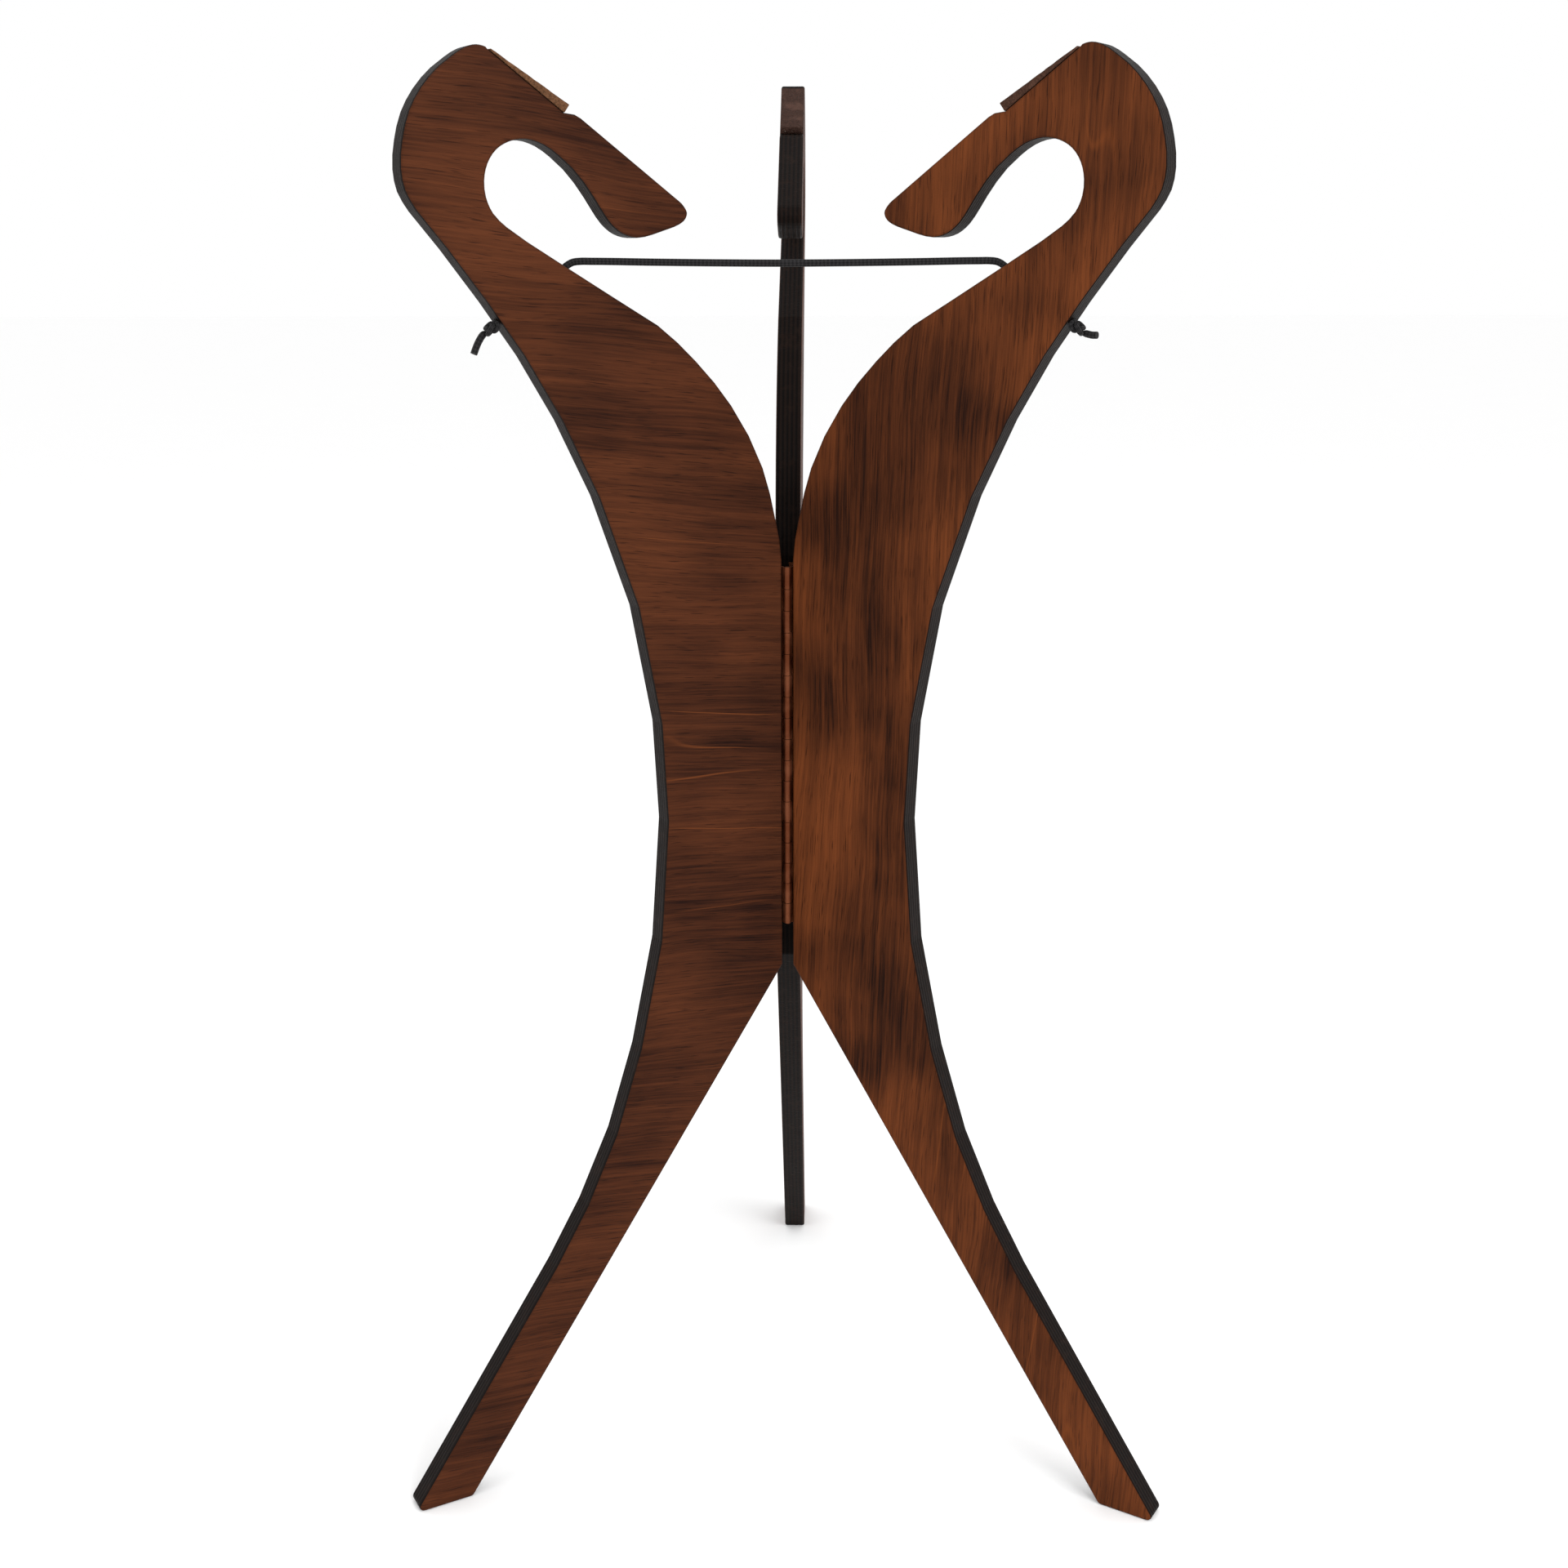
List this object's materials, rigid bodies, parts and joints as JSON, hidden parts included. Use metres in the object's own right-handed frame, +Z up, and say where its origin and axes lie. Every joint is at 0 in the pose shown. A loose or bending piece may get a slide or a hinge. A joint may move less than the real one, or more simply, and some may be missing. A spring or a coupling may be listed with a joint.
{
  "type": "handpan stand",
  "caption": "Folding wooden stand of flat S-curved plywood legs with hooked arms, hinged on a common axis, that cradles a handpan and is held open by a knotted cord.",
  "frame": {"origin": "centre of the base's bounding box, on the floor", "axes": "+Z up along the hinges, -Y towards the opening between the two front legs, +X to the right leg"},
  "size_m": [0.4556, 0.395, 0.84],
  "materials": {
    "plywood": "satin",
    "pad": "matte",
    "hinge": "satin",
    "cord": "matte"
  },
  "bodies": {
    "right_side": {"right_leg": "plywood", "right_pad": "pad", "right_cord_knot": "cord", "spread_cord": "cord", "front_hinge_right_leaf": "hinge", "front_hinge_pin": "hinge", "front_hinge_right_screw_1": "hinge", "front_hinge_right_screw_2": "hinge", "front_hinge_right_screw_3": "hinge", "front_hinge_right_screw_4": "hinge", "front_hinge_right_screw_5": "hinge", "rear_hinge_right_leaf": "hinge", "rear_hinge_pin": "hinge", "rear_hinge_right_screw_1": "hinge", "rear_hinge_right_screw_2": "hinge", "rear_hinge_right_screw_3": "hinge", "rear_hinge_right_screw_4": "hinge", "rear_hinge_right_screw_5": "hinge"},
    "left_side": {"left_leg": "plywood", "left_pad": "pad", "left_cord_knot": "cord", "front_hinge_left_leaf": "hinge", "front_hinge_left_screw_1": "hinge", "front_hinge_left_screw_2": "hinge", "front_hinge_left_screw_3": "hinge", "front_hinge_left_screw_4": "hinge", "front_hinge_left_screw_5": "hinge"},
    "rear_side": {"rear_leg": "plywood", "rear_pad": "pad", "rear_hinge_rear_leaf": "hinge", "rear_hinge_rear_screw_1": "hinge", "rear_hinge_rear_screw_2": "hinge", "rear_hinge_rear_screw_3": "hinge", "rear_hinge_rear_screw_4": "hinge", "rear_hinge_rear_screw_5": "hinge"}
  },
  "joints": [
    {"name": "front_leg_fold", "type": "hinge", "parent": "right_side", "child": "left_side", "pos_m": [0, -0.07261, 0.4473], "axis": [0, 0, 1], "range_deg": [0, 120], "deforming": ["spread_cord"]},
    {"name": "rear_leg_fold", "type": "hinge", "parent": "right_side", "child": "rear_side", "pos_m": [0.00935, -0.05641, 0.4473], "axis": [0, 0, -1], "range_deg": [-38, 120]}
  ]
}
